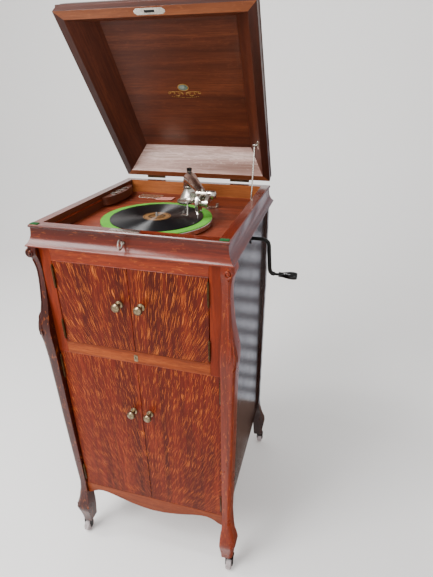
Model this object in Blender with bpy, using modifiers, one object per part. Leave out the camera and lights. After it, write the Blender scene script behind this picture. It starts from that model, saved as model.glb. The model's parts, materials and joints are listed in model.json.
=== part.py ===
"""Floor-standing wind-up phonograph: an oak cabinet on carved corner posts with casters,
four doors, an internal horn behind the upper pair, a lifting lid, a spring motor wound by
a side crank, a turntable with a record, and a swinging tonearm with a flip-up sound box.

All sizes below are millimetres in the cabinet's own frame: X to the right, Y to the back,
Z up, the cabinet's middle at x = y = 0 and the floor at z = 0. SHIFT then moves everything
so that the middle of the whole bounding box stands on the origin.
"""

import math

import bmesh
import bpy
from mathutils import Matrix, Vector

MM = 0.001
SHIFT = Vector((-49.5, -6.137, 0.0))

# Cabinet
RIM_X, RIM_Y, RIM_Z = 254.0, 277.0, 1150.0  # outer half width, half depth, top of the rim
WELL_X, WELL_Y = 229.5, 252.3               # inner faces of the record well
BOARD_TOP = 1108.0
CASE_TOP, CASE_BOTTOM = 1094.7, 207.0
POST_IN_X, POST_IN_Y = 238.0, 245.0         # inner edges of the corner posts
FRONT = -279.0                              # front plane of doors, rails and apron
DOOR_BACK = -261.0
GAP = 0.3

# Lid: its rim closes 2 mm above the cabinet's rim and stands open by 55 degrees
LID_Z = 1152.0
LID_PIN_Y, LID_PIN_Z = 287.3, 1157.35
LID_OPEN_DEG = 55.0

# Works
SPINDLE_Y = -75.0
ARM_X, ARM_Y = 8.0, 185.0                   # tonearm pivot
NECK_Y, NECK_Z = -20.0, 1183.0              # axis on which the sound box flips up
BOX_Y, BOX_Z = -55.0, 1168.0                # centre of the sound box
CRANK_Y, CRANK_Z = 5.0, 1060.0
DRUM_Y, DRUM_Z = 62.0, 1028.0
PINION_TEETH, WHEEL_TEETH = 12, 39
MODULE = 2 * math.hypot(DRUM_Y - CRANK_Y, CRANK_Z - DRUM_Z) / (PINION_TEETH + WHEEL_TEETH)

WOOD = ((0.24, 0.07, 0.025), 0.0, 0.45)
DARK_WOOD = ((0.10, 0.035, 0.02), 0.0, 0.4)
NICKEL = ((0.62, 0.60, 0.57), 1.0, 0.3)
BRASS = ((0.55, 0.38, 0.14), 1.0, 0.35)
STEEL = ((0.30, 0.29, 0.28), 1.0, 0.4)
IRON = ((0.05, 0.05, 0.055), 0.6, 0.5)
BLACK = ((0.01, 0.01, 0.01), 0.0, 0.25)
FELT = ((0.22, 0.45, 0.12), 0.0, 0.95)
CERAMIC = ((0.45, 0.40, 0.38), 0.0, 0.5)


def clear_scene():
    for old in list(bpy.data.objects):
        bpy.data.objects.remove(old, do_unlink=True)
    for old in list(bpy.data.collections):
        bpy.data.collections.remove(old)


clear_scene()
PARTS = bpy.data.collections.new("wind_up_phonograph")
CUTTERS = bpy.data.collections.new("cutters")
CUTTERS.hide_render = True
for group in (PARTS, CUTTERS):
    bpy.context.scene.collection.children.link(group)


# ---------------------------------------------------------------- building helpers

def material(name, look):
    colour, metallic, roughness = look
    made = bpy.data.materials.new(name)
    made.use_nodes = True
    shader = made.node_tree.nodes["Principled BSDF"]
    shader.inputs["Base Color"].default_value = (*colour, 1.0)
    shader.inputs["Metallic"].default_value = metallic
    shader.inputs["Roughness"].default_value = roughness
    return made


def place(obj, look, cutter=False):
    """Link an object built in cabinet millimetres and move it to its place."""
    (CUTTERS if cutter else PARTS).objects.link(obj)
    obj.location = obj.location * MM + SHIFT * MM
    if cutter:
        obj.hide_render = True
        obj.display_type = "WIRE"
    else:
        obj.data.materials.append(material(obj.name, look))
    return obj


def solid(name, points, faces, look=WOOD, cutter=False, turn=None):
    """A mesh object from points in mm. turn is a matrix in cabinet mm."""
    mesh = bpy.data.meshes.new(name)
    if turn is not None:
        points = [turn @ Vector(p) for p in points]
    mesh.from_pydata([Vector(p) * MM for p in points], [], faces)
    work = bmesh.new()
    work.from_mesh(mesh)
    bmesh.ops.recalc_face_normals(work, faces=work.faces)
    if work.calc_volume(signed=True) < 0:
        bmesh.ops.reverse_faces(work, faces=work.faces)
    work.to_mesh(mesh)
    work.free()
    return place(bpy.data.objects.new(name, mesh), look, cutter)


def box_data(x0, x1, y0, y1, z0, z1, first=0):
    points = [(x, y, z) for x in (x0, x1) for y in (y0, y1) for z in (z0, z1)]
    faces = [(0, 1, 3, 2), (4, 6, 7, 5), (0, 4, 5, 1), (2, 3, 7, 6), (0, 2, 6, 4), (1, 5, 7, 3)]
    return points, [tuple(first + i for i in face) for face in faces]


def box(name, x, y, z, look=WOOD, cutter=False, turn=None):
    points, faces = box_data(*x, *y, *z)
    return solid(name, points, faces, look, cutter, turn)


def boxes(name, spans):
    """One cutter made of several separate boxes."""
    points, faces = [], []
    for span in spans:
        more, quads = box_data(*span, first=len(points))
        points += more
        faces += quads
    return solid(name, points, faces, cutter=True)


def loft(name, rings, look=WOOD, ends=True, turn=None, cutter=False):
    """Skin closed rings of equal length. With ends False the last ring joins the first."""
    count = len(rings[0])
    points = [p for ring in rings for p in ring]
    last = len(rings) - 1 if ends else len(rings)
    faces = []
    for i in range(last):
        a, b = i * count, (i + 1) % len(rings) * count
        faces += [(a + j, a + (j + 1) % count, b + (j + 1) % count, b + j) for j in range(count)]
    if ends:
        faces += [tuple(range(count)), tuple(range(len(points) - count, len(points)))]
    return solid(name, points, faces, look, cutter, turn)


def extrude(name, outline, span, axis="z", look=WOOD, cutter=False, turn=None):
    """Extrude a flat outline. Its pairs are (x, y), (x, z) for axis y, or (y, z) for axis x."""
    order = {"z": lambda a, b, h: (a, b, h), "y": lambda a, b, h: (a, h, b),
             "x": lambda a, b, h: (h, a, b)}[axis]
    rings = [[order(a, b, h) for a, b in outline] for h in span]
    return loft(name, rings, look, turn=turn, cutter=cutter)


def mitred_ring(name, profile, half_x, half_y, look=WOOD, turn=None):
    """Sweep a closed profile of (outward offset, z) round a rectangle with mitred corners."""
    corners = ((1, 1), (-1, 1), (-1, -1), (1, -1))
    rings = [[(sx * (half_x + s), sy * (half_y + s), z) for s, z in profile] for sx, sy in corners]
    return loft(name, rings, look, ends=False, turn=turn)


TURNS = {"z": (0, 0, 0), "x": (0, math.pi / 2, 0), "y": (-math.pi / 2, 0, 0)}


def lathe(name, profile, centre, axis="z", look=NICKEL, steps=24, bored=False,
          cutter=False, spin=0.0, turn=None):
    """Turn a profile of (radius, height) about an axis through centre.

    The outside runs from the top down. A bored profile is a closed loop that comes back up
    the bore; any other starts and ends on the axis.
    """
    mesh = bpy.data.meshes.new(name)
    points = [Vector((r, 0, h)) * MM for r, h in profile]
    edges = [(i, i + 1) for i in range(len(points) - 1)]
    if bored:
        edges.append((len(points) - 1, 0))
    mesh.from_pydata(points, edges, [])
    obj = bpy.data.objects.new(name, mesh)
    obj.location = Vector(centre)
    obj.rotation_euler = TURNS[axis]
    if spin:
        obj.rotation_euler = (obj.rotation_euler.to_matrix()
                              @ Matrix.Rotation(spin, 3, "Z")).to_euler()
    if turn is not None:
        moved = turn @ Matrix.Translation(obj.location) @ obj.rotation_euler.to_matrix().to_4x4()
        obj.location, obj.rotation_euler = moved.to_translation(), moved.to_euler()
    place(obj, look, cutter)
    screw = obj.modifiers.new("turned", "SCREW")
    screw.steps = screw.render_steps = steps
    screw.use_merge_vertices = True
    screw.merge_threshold = 0.00001
    return obj


def rod(name, path, radii, look=NICKEL, sides=12, cutter=False, turn=None):
    """A round bar along a path of points, with one radius or one for each point."""
    path = [Vector(p) for p in path]
    if not isinstance(radii, (list, tuple)):
        radii = [radii] * len(path)
    rings = []
    side = None
    for i, point in enumerate(path):
        ahead = path[min(i + 1, len(path) - 1)] - point
        behind = point - path[max(i - 1, 0)]
        along = (ahead.normalized() + behind.normalized()).normalized()
        if side is None:
            side = along.orthogonal().normalized()
        side = (side - along * side.dot(along)).normalized()
        other = along.cross(side)
        stretch = 1 / max(0.5, math.sqrt((1 + ahead.normalized().dot(behind.normalized())) / 2)
                          if 0 < i < len(path) - 1 else 1.0)
        rings.append([tuple(point + (side * math.cos(t) + other * math.sin(t))
                            * radii[i] * min(stretch, 1.1))
                      for t in (2 * math.pi * k / sides for k in range(sides))])
    return loft(name, rings, look, turn=turn, cutter=cutter)


def combine(obj, tool, operation):
    step = obj.modifiers.new(tool.name, "BOOLEAN")
    step.operation, step.solver, step.object = operation, "EXACT", tool


def cut(obj, *tools):
    for tool in tools:
        combine(obj, tool, "DIFFERENCE")
    return obj


def join(obj, *tools):
    for tool in tools:
        combine(obj, tool, "UNION")
    return obj


def hole(name, centre, radius, depth, axis="z", steps=20):
    return lathe(name, [(0, depth / 2), (radius, depth / 2), (radius, -depth / 2), (0, -depth / 2)],
                 centre, axis, steps=steps, cutter=True)


def peg(name, centre, radius, length, axis="z", steps=16):
    """A cylinder to be joined to another piece; centre is the middle of its length."""
    return hole(name, centre, radius, length, axis, steps)


def stadium(a, b, radius, steps=8):
    """Outline round two points: the shape of a flat link."""
    a, b = Vector(a), Vector(b)
    start = math.atan2(b.y - a.y, b.x - a.x) - math.pi / 2
    ends = []
    for centre, base in ((b, start), (a, start + math.pi)):
        ends += [(centre.x + radius * math.cos(base + math.pi * k / steps),
                  centre.y + radius * math.sin(base + math.pi * k / steps))
                 for k in range(steps + 1)]
    return ends


def smooth(table, z):
    """Straight-line value between the rows of a (z, value) table given from the top down."""
    for (z1, v1), (z0, v0) in zip(table, table[1:]):
        if z0 <= z <= z1:
            return v0 + (v1 - v0) * (z - z0) / (z1 - z0)
    return table[0][1] if z > table[0][0] else table[-1][1]


# ---------------------------------------------------------------- cabinet

FRONT_BULGE = [(1094.7, 12.5), (1089, 14), (1080, 16), (1073, 14), (1067, 11), (1050, 6.5),
               (1031, 4), (1005, 4), (973, 6), (936, 10), (909, 15), (882, 21), (858, 24),
               (834, 24), (813, 21.5), (760, 19), (650, 17), (552, 16), (443, 14), (340, 12),
               (248, 10), (217, 12), (195, 16), (172, 20), (155, 25), (140, 29), (128, 30),
               (115, 27.5), (98, 24), (76, 21), (60, 20)]
REAR_BULGE = [(1094.7, 3), (900, 4), (840, 6), (700, 5), (300, 3), (248, 3), (217, 6), (195, 10),
              (172, 15), (155, 21), (140, 25), (128, 26), (115, 24), (98, 21), (76, 19), (60, 18)]
LEG_IN = [(1094.7, 0), (215, 0), (194.5, 0), (172, -3), (140, -4), (128, -4), (98, -2), (60, 1)]
LEG_DEPTH = [(1094.7, 0), (215, 0), (203, 9), (172, 12), (60, 15)]


def corner_post(name, side, front):
    """Post and leg in one length: an outline with a rounded outer corner at every height."""
    table = FRONT_BULGE if front else REAR_BULGE
    rings = []
    for z, bulge in table:
        x_in = POST_IN_X + smooth(LEG_IN, z)
        y_in = POST_IN_Y + smooth(LEG_DEPTH, z)
        x_out, y_out, r = RIM_X + bulge, RIM_Y + bulge, 7 + 0.35 * bulge
        ring = [(x_in, y_out), (x_in, y_in), (x_out, y_in)]
        ring += [(x_out - r + r * math.cos(t), y_out - r + r * math.sin(t))
                 for t in (math.pi / 2 * k / 4 for k in range(5))]
        rings.append([(side * x, (-y if front else y), z) for x, y in ring])
    post = loft(name, rings)
    foot_y = -276.0 if front else 279.0
    return cut(post, hole(name + "_caster_bore", (side * 262, foot_y, 72), 5.2, 30, steps=12))


def cabinet():
    for side, label in ((-1, "left"), (1, "right")):
        corner_post(f"front_{label}_post", side, True)
        corner_post(f"rear_{label}_post", side, False)
    y = (-POST_IN_Y + GAP, POST_IN_Y - GAP)
    z = (CASE_BOTTOM, CASE_TOP)
    box("left_side_panel", (-248, -238.3), y, z, DARK_WOOD)
    right = box("right_side_panel", (238.3, 248), y, z, DARK_WOOD)
    cut(right, hole("crank_hole", (243, CRANK_Y, CRANK_Z), 7.0, 30, "x"))
    inner = (-237.7, 237.7)
    box("back_panel", inner, (262, 270), z, DARK_WOOD)
    box("bottom_board", inner, (-260.7, 261.7), (222, 240))
    box("mid_shelf", inner, (-258.7, 261.7), (783, 801))
    frame = box("face_frame", inner, (FRONT, -259), (781.4, CASE_TOP))
    cut(frame, boxes("upper_doorway", [(-207.4, 207.4, -300, -240, 818.4, 1059.4)]))
    half = [(237.7, 241.2), (237.7, 195), (231, 195.5), (222, 200), (210, 208.5), (198, 214.5),
            (185, 217), (168, 216), (145, 211), (115, 202), (80, 192), (40, 184), (0, 181)]
    outline = half + [(-x, z) for x, z in reversed(half[:-1])]
    extrude("front_apron", outline, (FRONT, DOOR_BACK), "y")
    ring = mitred_ring("crown_moulding", [
        (-24.5, 1095.3), (-24.5, 1150), (0, 1150), (2.2, 1147.5), (2.2, 1144), (-1, 1141),
        (-0.6, 1132), (0.6, 1121), (3, 1113), (7, 1105), (12, 1099.5), (13.5, 1097.5),
        (13.5, 1095.3)], RIM_X, RIM_Y)
    cut(ring, hole("keyway", (0, -RIM_Y + 4, 1126), 3.4, 24, "y", 12))
    board = box("motor_board", (-WELL_X + GAP, WELL_X - GAP), (-WELL_Y + GAP, WELL_Y - GAP),
                (1090, BOARD_TOP), DARK_WOOD)
    cut(board, hole("spindle_hole", (0, SPINDLE_Y, 1100), 8, 60),
        hole("throat_hole", (ARM_X, ARM_Y, 1100), 25.5, 60, steps=28),
        boxes("stay_slot", [(207.5, 216.5, 163, 193, 1080, 1120)]))
    box("lock_plate", (-37.5, 37.5), (-270, -259), (1150.3, 1151.5), BRASS)


def horn():
    """Hollow wooden horn: round throat under the tonearm, wide rectangular mouth in front."""
    table = [  # y, z, tilt of the section from horizontal (degrees), half width, half height, how square
        (185, 1107.0, 90, 24.5, 24.5, 0.0), (185, 1075, 90, 25, 25, 0.0),
        (182, 1035, 84, 29, 28, 0.1), (171, 993, 66, 35, 32, 0.2), (146, 955, 42, 44, 37, 0.3),
        (105, 927, 20, 58, 41, 0.45), (50, 914, 4, 78, 46, 0.6), (-20, 912, -2, 104, 53, 0.75),
        (-100, 920, -5, 138, 64, 0.9), (-170, 929, -4, 170, 84, 0.95), (-243.5, 936, 0, 198, 107, 1.0)]
    count = 24

    def ring(y, z, tilt, half_w, half_h, square, inset):
        c, s = math.cos(math.radians(tilt)), math.sin(math.radians(tilt))
        made = []
        for k in range(count):
            t = 2 * math.pi * (k + 0.5) / count
            power = 1.0 - 0.72 * square
            u = math.copysign(abs(math.cos(t)) ** power, math.cos(t)) * (half_w - inset)
            v = math.copysign(abs(math.sin(t)) ** power, math.sin(t)) * (half_h - inset)
            made.append((ARM_X * max(0.0, (y + 20) / 205) + u, y + v * s, z + v * c))
        return made

    outer = [ring(*row, 0.0) for row in table]
    inner = [ring(*row, 5.0) for row in reversed(table)]
    loft("horn", outer + inner, DARK_WOOD, ends=False)
    grille = box("louvre_grille", (-216, 216), (-258.6, -244.0), (804, 1068))
    slots = [(-196, 196, -270, -230, 828 + 36 * k, 855 + 36 * k) for k in range(6)]
    cut(grille, boxes("louvre_slots", slots))


# ---------------------------------------------------------------- doors

def knob(name, x, z):
    profile = [(0, 28.5), (6, 27.8), (10.5, 25), (12.3, 20.5), (11, 16), (7, 12.5), (5, 9),
               (5.5, 5.5), (10, 3.2), (10.5, 0.3), (0, 0.3)]
    rings = [[(x + r * math.cos(t), FRONT - h, z + r * math.sin(t))
              for t in (2 * math.pi * k / 16 for k in range(16))] for r, h in profile[1:-1]]
    return loft(name, rings, NICKEL)


def door_hinge(name, side, x_leaf, x_pin, spans):
    """Two knuckles with ball tips on one leaf that runs up inside the door's edge gap."""
    y_pin = FRONT - 3.5
    (low0, low1), (high0, high1) = spans
    leaf = [(-262, low0), (-262, high1), (y_pin, high1), (y_pin, high0), (-268, high0),
            (-268, low1), (y_pin, low1), (y_pin, low0)]
    x_a, x_b = sorted((side * (x_leaf - 0.7), side * (x_leaf + 0.7)))
    plate = extrude(name, leaf, (x_a, x_b), "x", BRASS)
    for low, high in spans:
        middle, half = (low + high) / 2, (high - low) / 2
        tall = [(0, half + 7), (1.8, half + 6.3), (2.6, half + 4.5), (1.8, half + 2.6),
                (3.0, half + 0.5), (3.0, -half - 0.5), (1.8, -half - 2.6), (2.6, -half - 4.5),
                (1.8, -half - 6.3), (0, -half - 7)]
        join(plate, lathe(f"{name}_knuckle_{middle:.0f}", tall, (side * x_pin, y_pin, middle),
                          steps=12, cutter=True))


def doors():
    for side, label in ((-1, "left"), (1, "right")):
        for level, x_out, z, spans, x_leaf, x_pin, knob_x, knob_z in (
                ("upper", 205.0, (819, 1058.8), ((836, 884), (990, 1044)), 206.2, 206.2, 30, 958),
                ("lower", 235.0, (242.2, 780.8), ((270, 327), (698, 767)), 236.2, 234.5, 25, 609)):
            x = sorted((side * 0.8, side * x_out))
            box(f"{level}_{label}_door", x, (FRONT, DOOR_BACK), z)
            knob(f"{level}_{label}_knob", side * knob_x, knob_z)
            door_hinge(f"{level}_{label}_hinge", side, x_leaf, x_pin, spans)


# ---------------------------------------------------------------- lid

def lid_turn():
    pin = Vector((0, LID_PIN_Y, LID_PIN_Z))
    spin = Matrix.Rotation(math.radians(-LID_OPEN_DEG), 4, "X")
    return Matrix.Translation(pin) @ spin @ Matrix.Translation(-pin)


def lid():
    turn = lid_turn()
    shell = [(0, 0), (0, 20), (1.5, 22), (1.5, 27), (-2, 29), (-4, 40), (-10, 54), (-22, 67),
             (-38, 77), (-54, 83), (-62, 85), (-62, 90)]
    rings = [[(sx * (RIM_X + s), sy * (RIM_Y + s), LID_Z + h)
              for sx, sy in ((1, 1), (-1, 1), (-1, -1), (1, -1))] for s, h in shell]
    body = loft("lid_shell", rings, WOOD, turn=turn)
    well = [(22, -1), (22, 0), (70, 76.5)]
    hollow = [[(sx * (RIM_X - s), sy * (RIM_Y - s), LID_Z + h)
               for sx, sy in ((1, 1), (-1, 1), (-1, -1), (1, -1))] for s, h in well]
    cut(body, loft("lid_hollow", hollow, turn=turn, cutter=True))
    leaf = box("lid_hinges", (-182, 182), (RIM_Y + 1.9, RIM_Y + 3.6), (1155, 1172), BRASS, turn=turn)
    for x in (-150, 150):
        join(leaf, box(f"hinge_leaf_{x}", (x - 32, x + 32), (RIM_Y + 1.9, LID_PIN_Y), (1156.5, 1158.2),
                       cutter=True, turn=turn),
             lathe(f"hinge_barrel_{x}", [(0, 32.5), (4.2, 32.5), (4.2, -32.5), (0, -32.5)],
                   (x, LID_PIN_Y, LID_PIN_Z), "x", steps=12, cutter=True, turn=turn))
    top = turn @ Vector((212, 141, 1168))
    guide = Vector((212, 177, 1108))
    down = (guide - top).normalized()
    stay = rod("stay_rod", [top, top + down * 196], 2.2, NICKEL, 10)
    join(stay, peg("stay_eye", tuple(top), 5.0, 5.0, "x", 12))


# ---------------------------------------------------------------- turntable and motor

def gear_outline(teeth, centre, phase=0.0):
    """Straight-sided teeth with generous backlash, as (y, z) pairs."""
    pitch = MODULE * teeth / 2
    root, tip = pitch - 1.2 * MODULE, pitch + 0.75 * MODULE
    step = 2 * math.pi / teeth
    made = []
    for k in range(teeth):
        mid = phase + k * step
        for radius, share in ((root, -0.27), (tip, -0.11), (tip, 0.11), (root, 0.27)):
            angle = mid + share * step
            made.append((centre[0] + radius * math.cos(angle), centre[1] + radius * math.sin(angle)))
    return made


def motor():
    platter = [(151, 1125), (152.4, 1123.5), (152.4, 1112.5), (149, 1112.5), (149, 1120.5),
               (17, 1120.5), (17, 1110.8), (4.2, 1110.8), (4.2, 1125)]
    lathe("platter", platter, (0, SPINDLE_Y, 0), look=NICKEL, steps=48, bored=True)
    lathe("platter_felt", [(151.5, 1127.3), (151.5, 1125.3), (4.2, 1125.3), (4.2, 1127.3)],
          (0, SPINDLE_Y, 0), look=FELT, steps=48, bored=True)
    lathe("record", [(126, 1129.8), (127, 1129.2), (127, 1128.2), (126, 1127.6), (4.0, 1127.6),
                     (4.0, 1129.8)], (0, SPINDLE_Y, 0), look=BLACK, steps=48, bored=True)
    lathe("turntable_spindle", [(0, 1142), (2.6, 1140.8), (3.6, 1138), (3.6, 1061), (16.5, 1061),
                                (16.5, 1049), (3.6, 1049), (3.6, 1010.4), (0, 1010.4)],
          (0, SPINDLE_Y, 0), look=STEEL, steps=16)
    drum = (DRUM_Y, DRUM_Z)
    lathe("spring_barrel", [(46, 34), (46, -38), (5.6, -38), (5.6, -34), (43, -34), (43, 34)],
          (0, *drum), "x", STEEL, 32, bored=True)
    angle_to_crank = math.atan2(CRANK_Z - DRUM_Z, CRANK_Y - DRUM_Y)
    wheel = extrude("winding_wheel", gear_outline(WHEEL_TEETH, drum, angle_to_crank), (40, 47), "x", BRASS)
    join(wheel, peg("drum_arbor", (15.5, *drum), 5.2, 114, "x", 16))
    turns, count, pitch = 5, 80, 5.6
    coil = []
    for sign in (1, -1):
        row = []
        for k in range(count + 1):
            t = 2 * math.pi * turns * k / count
            r = 8.6 + pitch * turns * k / count + sign * 0.6
            row.append((drum[0] + r * math.cos(t), drum[1] + r * math.sin(t)))
        coil += row if sign == 1 else row[::-1]
    extrude("mainspring", coil, (-31, 32), "x", STEEL)
    lathe("governor", [(0, 71), (2.4, 71), (2.4, 52), (15, 51), (15, 48), (5, 47), (5, 40), (9, 36),
                       (12, 28), (9, 20), (5, 16), (4.6, 14), (4.6, -20), (2.4, -21), (2.4, -71), (0, -71)],
          (0, SPINDLE_Y - 22, 1055), "x", BRASS, 16)
    plate = box("motor_bedplate", (-112, 118), (-128, 122), (1083.5, 1089.7), IRON)
    cut(plate, hole("bed_spindle_hole", (0, SPINDLE_Y, 1085), 7, 30, steps=16))
    join(plate,
         box("cheek_left", (-78, -71.6), (-110, -62), (1003, 1085), cutter=True),
         box("cheek_right", (71.6, 78), (-110, -62), (1003, 1085), cutter=True),
         box("thrust_bar", (-76, 76), (-88, -64), (1003.2, 1010), cutter=True),
         box("drum_cheek_left", (-50, -41.8), (46, 78), (1014, 1085), cutter=True),
         box("drum_cheek_right", (72.8, 80), (46, 78), (1014, 1085), cutter=True),
         box("crank_bearing", (58, 70), (-9, 19), (1046, 1085), cutter=True))
    cut(plate, hole("crank_bore", (64, CRANK_Y, CRANK_Z), 5.6, 40, "x", 16))


def crank():
    phase = math.atan2(DRUM_Z - CRANK_Z, DRUM_Y - CRANK_Y) + math.pi / PINION_TEETH
    arm = rod("crank_arm", [
        (36, CRANK_Y, CRANK_Z), (282, CRANK_Y, CRANK_Z), (291, 6, 1057.5), (297.5, 8, 1051.5),
        (300, 11, 1042), (300.5, 43, 956), (302.5, 47, 944.5), (308, 49.5, 938), (316, 50, 936)],
        [5, 5, 5, 5.2, 5.4, 6.2, 6.2, 6.2, 6.2], STEEL, 12)
    join(arm, extrude("winding_pinion", gear_outline(PINION_TEETH, (CRANK_Y, CRANK_Z), phase),
                      (38, 49), "x", cutter=True),
         peg("handle_pin", (347, 50, 936), 4.0, 67, "x", 12))
    lathe("crank_handle", [(8.5, 55), (11, 51.5), (12, 44), (11.5, 32), (9, 18), (7.5, 8), (8.2, 0),
                           (4.4, 0), (4.4, 55)], (328, 50, 936), "x", BLACK, 20, bored=True)
    corner = [(CRANK_Y + 17, CRANK_Z), (CRANK_Y, CRANK_Z + 17), (CRANK_Y - 17, CRANK_Z),
              (CRANK_Y, CRANK_Z - 17)]
    cut(extrude("crank_escutcheon", corner, (248.3, 251), "x", IRON),
        hole("escutcheon_hole", (250, CRANK_Y, CRANK_Z), 6.2, 20, "x", 16))


# ---------------------------------------------------------------- tonearm and fittings

def tonearm():
    lathe("tonearm_bracket", [(21, 1150), (22, 1141), (26, 1133), (30, 1127), (33, 1118), (38, 1112),
                              (38, 1108.3), (17, 1108.3), (17, 1150)],
          (ARM_X, ARM_Y, 0), look=NICKEL, steps=32, bored=True)
    arm = rod("tonearm", [
        (8, 185, 1150.4), (8, 185, 1163), (8.8, 183.6, 1171), (11.6, 178.2, 1178.5),
        (16.4, 169, 1183), (22, 158.5, 1184.5), (60, 85.8, 1184.2), (109, -8, 1183.4)],
        [20.5, 20.5, 20.6, 20.4, 20, 19, 16, 11.5], NICKEL, 20)
    join(arm, peg("pivot_cap", (9.5, 181, 1203), 8, 20, steps=14),
         peg("neck_sleeve", (115, NECK_Y, NECK_Z), 10.8, 32, "x", 20))
    cut(arm, hole("neck_bore", (115, NECK_Y, NECK_Z), 7.8, 60, "x", 20))
    link = extrude("gooseneck", stadium((BOX_Y, BOX_Z), (NECK_Y, NECK_Z), 9.5), (131.5, 141), "x", NICKEL)
    join(link, peg("neck_journal", (116, NECK_Y, NECK_Z), 7.4, 33.5, "x", 16),
         peg("neck_outlet", (127.5, BOX_Y, BOX_Z), 8.0, 10, "x", 16))
    disc = lathe("sound_box", [(0, 6), (12, 6), (20, 5), (23.6, 3.6), (24.3, 0), (23.6, -4),
                               (21.5, -5.6), (20, -4.4), (0, -4.4)],
                 (116, BOX_Y, BOX_Z), "x", NICKEL, 32)
    join(disc, rod("needle_chuck", [(112.5, BOX_Y - 4, BOX_Z - 20), (115.3, BOX_Y - 13, BOX_Z - 29)], 3.4,
                   sides=12, cutter=True),
         rod("stylus_bar", [(108.6, BOX_Y, BOX_Z), (109.6, BOX_Y - 3.5, BOX_Z - 22)], [1.6, 2.0],
             sides=8, cutter=True),
         peg("stylus_pivot", (110, BOX_Y - 3.4, BOX_Z - 22), 2.4, 6, "x", 8))
    rod("needle", [(115.6, -69, 1138.0), (117.2, -73.8, 1133.6), (118, -76, 1130.6)], [1.0, 0.9, 0.25],
        STEEL, 8)
    dish = lathe("record_brush", [(0, 1166), (19.5, 1166), (20.5, 1168.5), (22.5, 1168.5), (22.8, 1165),
                                  (19.5, 1160.5), (13, 1157.5), (0, 1157)], (69, -32, 0), look=NICKEL, steps=28)
    join(dish, box("brush_link", (84, 98), (-27, -14), (1162.5, 1187), cutter=True),
         rod("brush_lever", [(79, -45, 1163), (85, -61, 1149), (85.5, -66, 1135.5)], 1.7, sides=8, cutter=True),
         box("brush_foot", (68, 87.3), (-68.5, -63.5), (1134, 1137), cutter=True))


def fittings():
    outline = [(-WELL_X + GAP, 35), (-WELL_X + GAP, 221)]
    outline += [(-WELL_X + GAP + 32 * math.sin(math.pi * k / 14) ** 0.7, 128 + 93 * math.cos(math.pi * k / 14))
                for k in range(1, 14)]
    tray = extrude("needle_tray", outline, (1115, 1140), "z", DARK_WOOD)
    cut(tray, *[hole(f"needle_cup_{k}", (-215, 92 + 36 * k, 1140), 10.5, 14, steps=20) for k in range(3)])
    lever = extrude("brake_lever", stadium((118, 120), (57, 75), 5), (1108.6, 1111.6), "z", NICKEL)
    join(lever, peg("brake_pivot", (95, 104.2, 1111.5), 6.5, 5, steps=16),
         peg("brake_button", (118, 120, 1115), 5, 12, steps=14),
         box("brake_shoe", (50.5, 62), (69.5, 78), (1109, 1121), cutter=True))
    key = rod("lid_key", [(0, -266, 1126), (0, -287, 1126)], 2.7, NICKEL, 12)
    bow = [[((2.0 * math.sin(u)), -295.1 + math.cos(t) * (9.6 + 2.2 * math.cos(u)),
             1126 + 1.15 * math.sin(t) * (9.6 + 2.2 * math.cos(u)))
            for u in (2 * math.pi * j / 8 for j in range(8))]
           for t in (2 * math.pi * k / 20 for k in range(20))]
    join(key, loft("key_bow", bow, ends=False, cutter=True),
         peg("key_collar", (0, -281.5, 1126), 4.4, 3.0, "y", 12))


# ---------------------------------------------------------------- casters

def caster(name, side, front):
    x = side * 262
    y = -276.0 if front else 279.0
    trail = -9.0 if front else 9.0
    centre = (x, y + trail, 20.0)
    socket = lathe(f"{name}_caster_fork", [(0, 84), (4.8, 84), (4.8, 59.5), (14, 59.5), (15, 56), (13, 49),
                                         (13, 45), (0, 45)], (x, y, 0), look=IRON, steps=16)
    span = sorted((y - 0.5 * trail, y + 1.45 * trail))
    cheek = [(span[0], 49), (span[1], 49), (centre[1] + 5.5, 14), (centre[1] - 5.5, 14)]
    join(socket, extrude(f"{name}_cheek_a", cheek, (x - 12.6, x - 9.6), "x", cutter=True),
         extrude(f"{name}_cheek_b", cheek, (x + 9.6, x + 12.6), "x", cutter=True),
         box(f"{name}_bridge", (x - 12.4, x + 12.4), tuple(span), (44.6, 50), cutter=True),
         peg(f"{name}_axle", centre, 2.6, 26.5, "x", 10))
    wheel_r = 20 / math.cos(math.pi / 24)
    lathe(f"{name}_caster_wheel", [(wheel_r - 2, 8.6), (wheel_r, 6.4), (wheel_r, -6.4), (wheel_r - 2, -8.6),
                                 (3.1, -8.6), (3.1, 8.6)], centre, "x", CERAMIC, 24, bored=True,
          spin=math.pi / 24)


def casters():
    for side, label in ((-1, "left"), (1, "right")):
        caster(f"front_{label}", side, True)
        caster(f"rear_{label}", side, False)


cabinet()
horn()
doors()
lid()
motor()
crank()
tonearm()
fittings()
casters()
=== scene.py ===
import json
import math
import random

import bmesh
import bpy
from mathutils import Matrix, Vector

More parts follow.
